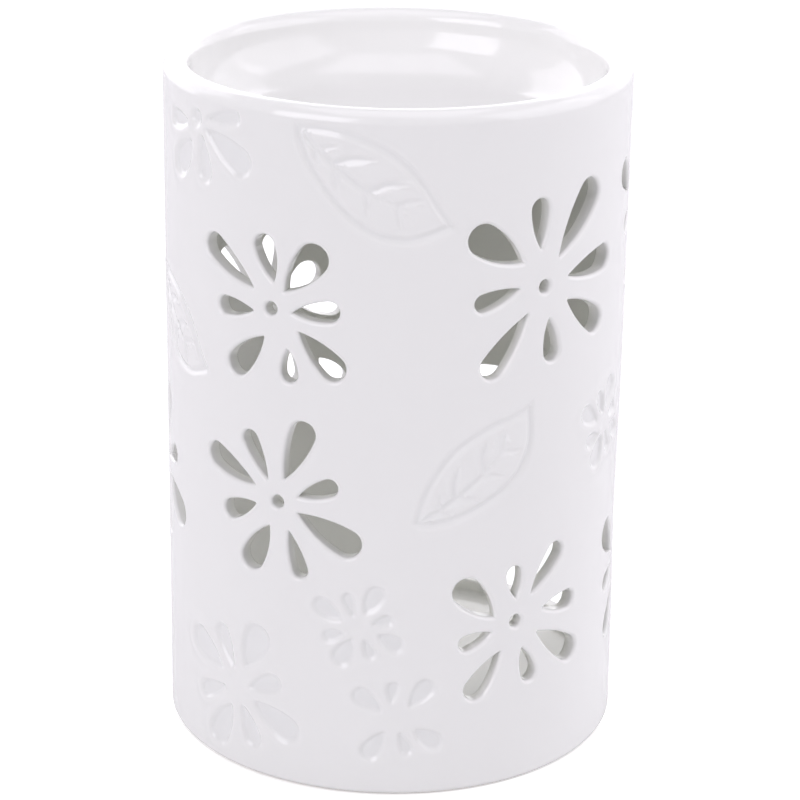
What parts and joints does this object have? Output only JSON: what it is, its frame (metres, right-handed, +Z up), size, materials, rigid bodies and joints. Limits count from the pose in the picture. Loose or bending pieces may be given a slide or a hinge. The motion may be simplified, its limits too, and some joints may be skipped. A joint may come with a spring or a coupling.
{
  "type": "oil burner",
  "caption": "Round white ceramic oil burner with pierced and pressed flowers, a dished top, an arched door at the back and a tealight on its floor.",
  "frame": {"origin": "middle of the foot, on the surface that the burner stands on", "axes": "+Z up through the dish; -Y faces the viewer of the picture; the door is at the back, its middle 58.4 degrees from +X towards +Y"},
  "size_m": [0.08, 0.08, 0.12],
  "materials": {
    "white_glaze": "glossy white glaze",
    "cup_metal": "thin drawn aluminium",
    "wax": "pressed white wax",
    "wick_cotton": "waxed braided cotton",
    "tab_steel": "tinned steel"
  },
  "bodies": {
    "burner": {"pierced_sleeve": "white_glaze", "oil_dish": "white_glaze", "floor_disc": "white_glaze"},
    "tealight": {"tealight_cup": "cup_metal", "tealight_wax": "wax", "tealight_wick": "wick_cotton", "wick_tab": "tab_steel"}
  },
  "joints": [
    {"name": "tealight_slide", "type": "slide", "parent": "burner", "child": "tealight", "axis": [0.594, 0.7963, 0.1142], "range_m": [0, 0.075]}
  ]
}
